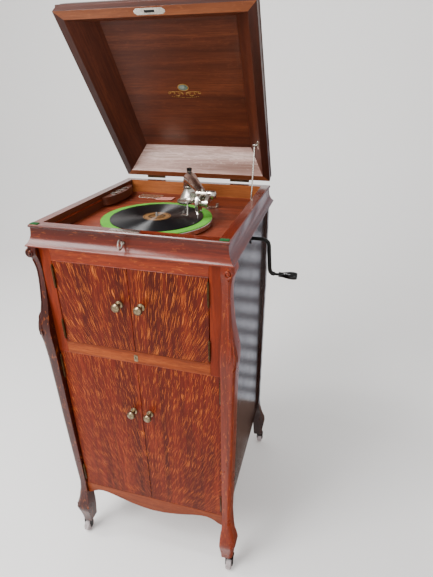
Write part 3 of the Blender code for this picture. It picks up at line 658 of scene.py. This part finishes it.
def top_scroll(side):
    """A spiral bead with a button in its eye, and the bead that runs down the post from it."""
    scroll_x, scroll_z, steps = RIM_X + 1, 1079, 34
    spiral, radii = [], []
    for k in range(steps):
        t = k / (steps - 1)
        a = math.pi * 0.5 - 2 * math.pi * 1.6 * t
        r = 11.5 * (1 - 0.78 * t)
        spiral.append((side * (scroll_x + r * math.cos(a)), -292.6 - 1.6 * t, scroll_z + r * math.sin(a)))
        radii.append(2.6 - 0.8 * t)
    edge = [on_corner(side, z, 8 + 14 * math.sin(math.pi * (z - 905) / 170), 0.3)
            for z in range(908, 1066, 8)]
    tail = [0.8 + 1.3 * min(1.0, k / 6) for k in range(len(edge))]
    button = turned([(3.0, -1.0), (3.4, -2.4), (2.0, -3.8), (0.4, -4.2)],
                    (side * scroll_x, -292, scroll_z), "y", 14)
    return together(tube(spiral, radii, 8), tube(edge, tail, 8), button)


def toe_scroll(side):
    """Four rounded lobes on the foot's corner: (turn, height, size) each."""
    toe = []
    for turn, z, size in ((45, 146, 7.0), (45, 133, 5.0), (14, 138, 4.0), (76, 138, 4.0)):
        rings = []
        for i in range(7):
            t = math.pi * i / 6
            rings.append([on_corner(side, z + size * math.cos(t) + 0.35 * size * math.sin(t) * math.sin(a),
                                    turn + size * 2.1 * math.sin(t) * math.cos(a),
                                    2.2 * math.sin(t) * max(0.0, math.sin(a)) - 0.4)
                          for a in turns(10)])
        toe.append(skin(rings))
    return together(*toe)


def carving():
    for side, label, wood in ((-1, "left", "post_shade"), (1, "right", "post")):
        for what, shape in (("knee_leaf", knee_leaf), ("top_scroll", top_scroll),
                            ("toe_scroll", toe_scroll)):
            piece(f"front_{label}_{what}", *shape(side), wood, "cabinet", f"front_{label}_post",
                  smooth=60.0)


# ---------------------------------------------------------------- lid fittings

def strike_plate():
    """The lock's strike in the lid's front rim, with a slot for its hooks."""
    long, short, cut = 39.0, 7.5, 7.0
    outer = [(-long, -2.5), (-long + cut, -short), (long - cut, -short), (long, -2.5),
             (long, 2.5), (long - cut, short), (-long + cut, short), (-long, 2.5)]
    inner = [(-13, -1.5), (-13, -3), (13, -3), (13, -1.5), (13, 1.5), (13, 3), (-13, 3), (-13, 1.5)]
    low, high = LID_Z - 0.3, LID_Z + 0.2
    rings = [[(x, y + STRIKE_Y, z) for x, y in shape]
             for shape, z in ((outer, high), (outer, low), (inner, low), (inner, high))]
    piece("lid_strike_plate", *skin(rings, ends=False), "nickel", "lid", "lock_plate", LID_TURN)
    # The slot is a thin black block in the plate's opening: painted shade.
    slot = block((-13, 13), (STRIKE_Y - 3, STRIKE_Y + 3), (LID_Z - 0.05, LID_Z + 0.2))
    piece("lid_strike_slot", *slot, "void", "lid", "lock_plate", LID_TURN)


def stay_bracket():
    """A leaf-shaped base on the lid's sloped right wall, with the stay's stud, nut and catch."""
    x, y, z = 207.5, 141, 1168

    def on_wall(y, z, out):
        return (RIM_X - LID_EDGE - (z - LID_Z) * LID_LEAN / LID_DEPTH - out, y, z)

    base = [[on_wall(y + 13 * size * math.cos(a) * (1 + 0.25 * math.cos(2 * a)),
                     z + 8 * size * math.sin(a), out) for a in turns(24)]
            for out, size in ((0.0, 1.0), (1.2, 1.0), (1.8, 0.85))]
    stud = turned([(2.4, 14.0), (2.4, 4.0), (3.8, 3.6), (3.8, 1.6)], (x, y, z), "x", 14)
    nut = turned([(0.5, -2.6), (3.2, -1.6), (4.2, 0.6), (3.2, 1.4)], (x, y, z), "x", 14)
    catch = tube([(x + 7, y + 3, z + 8), (x + 5.5, y + 8, z + 13), (x + 3.5, y + 15, z + 12),
                  (x + 2.5, y + 19, z + 7)], [1.6, 2.0, 1.8, 1.2], 8)
    piece("stay_bracket", *together(skin(base), stud, nut, catch), "nickel", "lid", "stay_rod",
          LID_TURN)


def lid_ornament():
    """A plain gilt device on the lid's panel: an oval boss, scrollwork and a row of dashes."""
    x0, y0, panel = 2.0, -12.0, LID_PANEL_Z

    def oval(a, b, drop):
        return [(x0 + a * math.cos(t), y0 + b * math.sin(t), panel - drop) for t in turns(40)]

    def stroke(points, width):
        return tube([(x0 + x, y0 + y, panel - 0.1) for x, y in points], width, 6)

    def curl(side, cx, cy, size, spin, steps=18):
        path = []
        for k in range(steps):
            t = k / (steps - 1)
            a = spin * (0.4 + 4.6 * t)
            reach = size * (1 - 0.7 * t)
            path.append((side * (cx + reach * math.cos(a)), cy + reach * math.sin(a)))
        return stroke(path, [0.45 + 0.5 * math.sin(math.pi * k / (steps - 1)) for k in range(steps)])

    rim = [oval(17, 11.5, 0.0), oval(17, 11.5, 0.5), oval(15.8, 10.4, 0.9), oval(14.6, 9.2, 0.5),
           oval(14.6, 9.2, 0.0)]
    parts = [skin(rim, ends=False)]
    for s in (-1, 1):
        parts += [curl(s, *row) for row in ((20, 21, 8, 1), (34, 19, 6.5, -1), (46, 16, 5, 1),
                                            (8, 22.5, 5.5, -1))]
        parts.append(stroke([(s * x, 13.5 + 0.004 * (x - 30) ** 2) for x in range(6, 52, 3)], 0.5))
        parts += [stroke([(s * (3 + 6 * k), 33 - 0.1 * k * k), (s * (6.4 + 6 * k), 33.2 - 0.1 * k * k)], 0.6)
                  for k in range(7)]
    piece("lid_ornament", *together(*parts), "gold", "lid", "lid_shell", LID_TURN, smooth=60.0)
    boss = [oval(14.6, 9.2, 0.0), oval(14.6, 9.2, 0.3), oval(9, 5.6, 0.8), oval(3, 1.8, 1.0)]
    piece("lid_ornament_boss", *skin(boss), "glass", "lid", "lid_shell", LID_TURN, smooth=60.0)


# ---------------------------------------------------------------- on the rim and in the well

def corner_pads():
    """Felt pads on the rim's front corners, for the lid to shut on."""
    middle_x, middle_y, half_x, half_y = RIM_X - 12, 8 - RIM_Y, 11, 7
    for side, label in ((-1, "left"), (1, "right")):
        x, y = side * middle_x, middle_y
        shape = rounded(x - half_x, x + half_x, y - half_y, y + half_y, 2.0)
        rings = [[(px, py, z) for px, py in shape] for z in (RIM_Z, RIM_Z + 1.2)]
        rings.append([(x + (px - x) * 0.93, y + (py - y) * 0.9, RIM_Z + 1.6) for px, py in shape])
        pad = piece(f"{label}_corner_pad", *skin(rings), "pad", "cabinet", "crown_moulding",
                    smooth=60.0)


def plate_and_card():
    """A blank data plate on the motor board, and a blank card that curls up from the board."""
    shape = rounded(-180, -100, 182, 224, 3.0)
    top = BOARD_Z + 0.9
    plate = together(skin([[(x, y, z) for x, y in shape] for z in (BOARD_Z, top)]),
                     *[screw_head((x, y, top), 2.2) for x in (-175, -105) for y in (187, 219)])
    piece("data_plate", *plate, "nickel", "cabinet", "motor_board", bevel=0.15)
    rows = []
    for k in range(9):
        x, z = -108 + 58 * k / 8, BOARD_Z + 0.1 + 2.2 * (k / 8) ** 3
        rows.append([(x, 166, z), (x, 200, z + 0.4), (x, 200, z + 0.8), (x, 166, z + 0.4)])
    piece("paper_card", *skin(rows), "card", "cabinet", "motor_board")


def well_beads():
    """Round beads along the well's side and front walls."""
    x, y, z = WELL_X - 2, 2.6 - WELL_Y, 1133
    paths = ([(x - 0.4, -251, z), (x - 0.4, 0, z), (x - 0.4, 251, z)],
             [(0.4 - x, -251, z), (0.4 - x, -120, z), (0.4 - x, 30, z)],
             [(-x, y, z), (0, y, z), (x, y, z)])
    piece("well_beads", *together(*[tube(path, 2.6) for path in paths]), "stile", "cabinet",
          "crown_moulding", smooth=60.0)


def well_screws():
    spots = ((-200, -225), (200, -225), (205, 120), (-185, 140))
    screws = together(screw_head((76, 203, BOARD_Z), 4.2, out=1.5),
                      *[screw_head((x, y, BOARD_Z), 3.2) for x, y in spots])
    piece("board_screws", *screws, "nickel", "cabinet", "motor_board")
    r, z = 34.5, BOARD_Z + 3.7
    flange = together(*[screw_head((BRACKET_X + r * math.cos(a), BRACKET_Y + r * math.sin(a), z), 2.4)
                        for a in (0.5, 2.6, 4.7)])
    piece("bracket_screws", *flange, "nickel", "cabinet", "tonearm_bracket")


def needle_cups():
    """A rim round each of the tray's three cups, and a heap of needles in each."""
    draw = random.Random(5)
    for k, label in enumerate(("front", "middle", "rear")):
        x, y = -215.0, 92.0 + 36 * k
        ring = [[(x + r * math.cos(t), y + r * math.sin(t), z) for t in turns(28)] for r, z in
                ((10.4, 1139.2), (10.4, 1140.9), (11.6, 1141.3), (12.8, 1140.8), (12.8, 1140.0))]
        piece(f"{label}_cup_rim", *skin(ring, ends=False), "nickel", "cabinet", "needle_tray")
        pile = []
        for _ in range(26):
            a, r = draw.uniform(0, 2 * math.pi), 5.0 * math.sqrt(draw.random())
            h = draw.uniform(1134.5, 1137.8)
            lean, reach = draw.uniform(0, math.pi), draw.uniform(3.2, 4.6)
            cx, cy = x + 0.7 * r * math.cos(a), y + 0.7 * r * math.sin(a)
            dx, dy, dz = reach * math.cos(lean), reach * math.sin(lean), draw.uniform(-0.8, 0.8)
            pile.append(tube([(cx - dx, cy - dy, h - dz), (cx + 0.6 * dx, cy + 0.6 * dy, h + 0.6 * dz),
                              (cx + dx, cy + dy, h + dz)], [0.6, 0.6, 0.12], 6))
        piece(f"{label}_cup_needles", *together(*pile), "steel", "cabinet", "needle_tray")


# ---------------------------------------------------------------- tonearm trim

def arm_trim():
    """The cap and collar of the tonearm's elbow, and its neck sleeve's bands and thumb screw."""
    cap = turned([(8.3, 2.0), (8.6, 5.0), (8.4, 9.6), (6.0, 10.6), (0.6, 10.9)], (9.5, 181, 1203), "z", 20)
    piece("elbow_cap", *cap, "handle", "tonearm", "tonearm")
    collar = turned([(21.0, -2.0), (22.0, -1.0), (22.0, 2.0), (21.0, 3.0)],
                    (BRACKET_X, BRACKET_Y, 1154), "z", 32)
    piece("elbow_collar", *collar, "nickel", "tonearm", "tonearm")
    band = [(10.9, -1.3), (11.8, -0.9), (11.8, 0.9), (10.9, 1.3)]
    sleeve = together(*[turned(band, (x, GOOSENECK_Y, GOOSENECK_Z), "x", 24) for x in (101.5, 128.5)])
    piece("neck_sleeve_bands", *sleeve, "nickel", "tonearm", "tonearm")
    bend = turned([(10.6, 131.2), (11.3, 133.0), (11.3, 149.0), (9.4, 152.2), (5.0, 153.4), (0.4, 153.6)],
                  (0, GOOSENECK_Y, GOOSENECK_Z), "x", 28)
    piece("gooseneck_bend", *bend, "nickel", "reproducer", "gooseneck", smooth=50.0)
    thumb = turned([(3.2, 0.0), (3.2, 4.5), (2.4, 5.2), (0.4, 5.4)],
                   (115, GOOSENECK_Y, GOOSENECK_Z + 10.5), "z", 16)
    piece("neck_thumb_screw", *thumb, "nickel", "tonearm", "tonearm")


def sound_box_trim():
    """The boss and screws on the sound box's face, and the studs on its back."""
    def spots(x, radius, angles):
        return [(x, SOUND_BOX_Y + radius * math.cos(a), SOUND_BOX_Z + radius * math.sin(a))
                for a in angles]

    boss = turned([(7.5, -0.2), (8.0, -1.4), (5.0, -2.6), (2.0, -3.0), (0.3, -3.1)],
                  (111.7, SOUND_BOX_Y, SOUND_BOX_Z), "x", 24)
    screws = [screw_head(spot, 1.9, "x", -1.0) for spot in spots(111.6, 17.5, (0.9, 2.5, 5.6))]
    piece("sound_box_trim", *together(boss, *screws), "nickel", "reproducer", "sound_box")
    studs = [turned([(2.6, -0.5), (2.6, 1.5), (1.6, 2.4), (0.3, 2.6)], spot, "x", 12)
             for spot in spots(121.5, 19.5, (0.4, 2.5, 4.6))]
    piece("sound_box_studs", *together(*studs), "nickel", "reproducer", "sound_box")


for build in (face_frame, keyhole_plate, carving, strike_plate, stay_bracket, lid_ornament,
              corner_pads, plate_and_card, well_beads, well_screws, needle_cups, arm_trim,
              sound_box_trim):
    build()


# ---------------------------------------------------------------- stage

def staged(name, points, faces, material):
    mesh = bpy.data.meshes.new(name)
    mesh.from_pydata(points, [], faces)
    mesh.materials.append(material)
    obj = bpy.data.objects.new(name, mesh)
    bpy.context.scene.collection.objects.link(obj)
    return obj


def studio_floor():
    """A floor that curves up into a back wall."""
    f = Finish("studio_floor", Base_Color=srgb(246, 244, 242), Roughness=0.6)
    f.bump(f.noise(f.place(), 8.0), 0.02, 0.001)
    far, back, radius, high = 9.0, 3.2, 1.2, 5.0
    profile = [(-far, 0.0), (back - radius, 0.0)]
    profile += [(back - radius + radius * math.sin(a), radius - radius * math.cos(a))
                for a in (math.pi / 2 * k / 12 for k in range(1, 13))]
    profile.append((back, high))
    points = [(x, y, z) for x in (-far, far) for y, z in profile]
    count = len(profile)
    faces = [(i, i + 1, count + i + 1, count + i) for i in range(count - 1)]
    staged("floor", points, faces, f.material).data.shade_smooth()


def reflector_cards():
    """Two cards that only glossy rays see, for the right side panel to reflect.

    A slatted one behind gives its soft bands, and a brown one by the floor its lower part."""
    pitch, near, far = 0.085, 0.235, 2.2
    slats = Finish("slatted_card")
    z = slats.node("ShaderNodeSeparateXYZ", {0: slats.place()}, 2)
    wave = slats.sums("SINE", slats.sums("MULTIPLY", z, 2 * math.pi / pitch))
    tone = slats.ramp(slats.sums("MULTIPLY_ADD", wave, 0.5, 0.5), (0.05, (0.24, 0.24, 0.27, 1.0)),
                      (0.95, (0.82, 0.84, 0.94, 1.0)))
    slats.set(Base_Color=(0.0, 0.0, 0.0, 1.0), Roughness=1.0, Specular_IOR_Level=0.0,
              Emission_Color=tone, Emission_Strength=1.0)
    brown = Finish("dark_card", Base_Color=(0.24, 0.155, 0.125, 1.0), Roughness=1.0,
                   Specular_IOR_Level=0.0)
    behind, low, top = 0.53, 0.004, 1.3
    upright = [(near, behind, 0.0), (far, behind, 0.0), (far, behind, top), (near, behind, top)]
    lying = [(0.228, -0.6, low), (far, -0.6, low), (far, 0.52, low), (0.228, 0.52, low)]
    for name, corners, finish in (("slatted_card", upright, slats), ("dark_card", lying, brown)):
        card = staged(name, corners, [(0, 1, 2, 3)], finish.material)
        card.visible_camera = card.visible_diffuse = False
        card.visible_shadow = card.visible_transmission = False


def white_world():
    world = bpy.data.worlds.new("studio")
    world.use_nodes = True
    background = world.node_tree.nodes["Background"]
    background.inputs["Color"].default_value = (1.0, 1.0, 1.0, 1.0)
    background.inputs["Strength"].default_value = 0.9
    bpy.context.scene.world = world


def lamp(name, place, target, size, watts):
    light = bpy.data.lights.new(name, "AREA")
    light.shape, light.size, light.size_y = "RECTANGLE", *size
    light.energy = watts
    obj = bpy.data.objects.new(name, light)
    obj.location = place
    obj.rotation_euler = (Vector(target) - Vector(place)).to_track_quat("-Z", "Y").to_euler()
    bpy.context.scene.collection.objects.link(obj)
    return obj


def lamps():
    lamp("key_softbox", (-2.1, -2.5, 2.8), (0.0, -0.1, 0.9), (1.6, 1.4), 110.0)
    lamp("well_softbox", (-1.36, -0.37, 3.2), (-0.05, -0.08, 1.13), (0.35, 0.9), 34.0)
    # This one only makes highlights, such as the bright wedges on the record's grooves.
    strip = lamp("record_strip", (-0.85, -0.63, 2.93), (-0.05, -0.08, 0.96), (0.16, 0.8), 120.0)
    strip.visible_diffuse = strip.visible_transmission = False
    lamp("top_softbox", (-0.8, -1.3, 3.0), (0.0, -0.2, 1.0), (1.1, 0.5), 40.0)
    lamp("fill_softbox", (1.6, -3.0, 1.6), (0.0, 0.0, 0.7), (1.6, 1.6), 26.0)


def camera():
    lens = bpy.data.cameras.new("camera")
    lens.sensor_width, lens.lens = 36.0, 26.33
    lens.clip_start, lens.clip_end = 0.05, 60.0
    obj = bpy.data.objects.new("camera", lens)
    yaw, pitch, roll = 0.27408, 0.46256, -0.00903
    obj.location = at(460.1, -1114.4, 1467.3)
    obj.rotation_euler = (Matrix.Rotation(yaw, 3, "Z") @ Matrix.Rotation(math.pi / 2 - pitch, 3, "X")
                          @ Matrix.Rotation(roll, 3, "Z")).to_euler()
    bpy.context.scene.collection.objects.link(obj)
    bpy.context.scene.camera = obj


studio_floor()
reflector_cards()
white_world()
lamps()
camera()
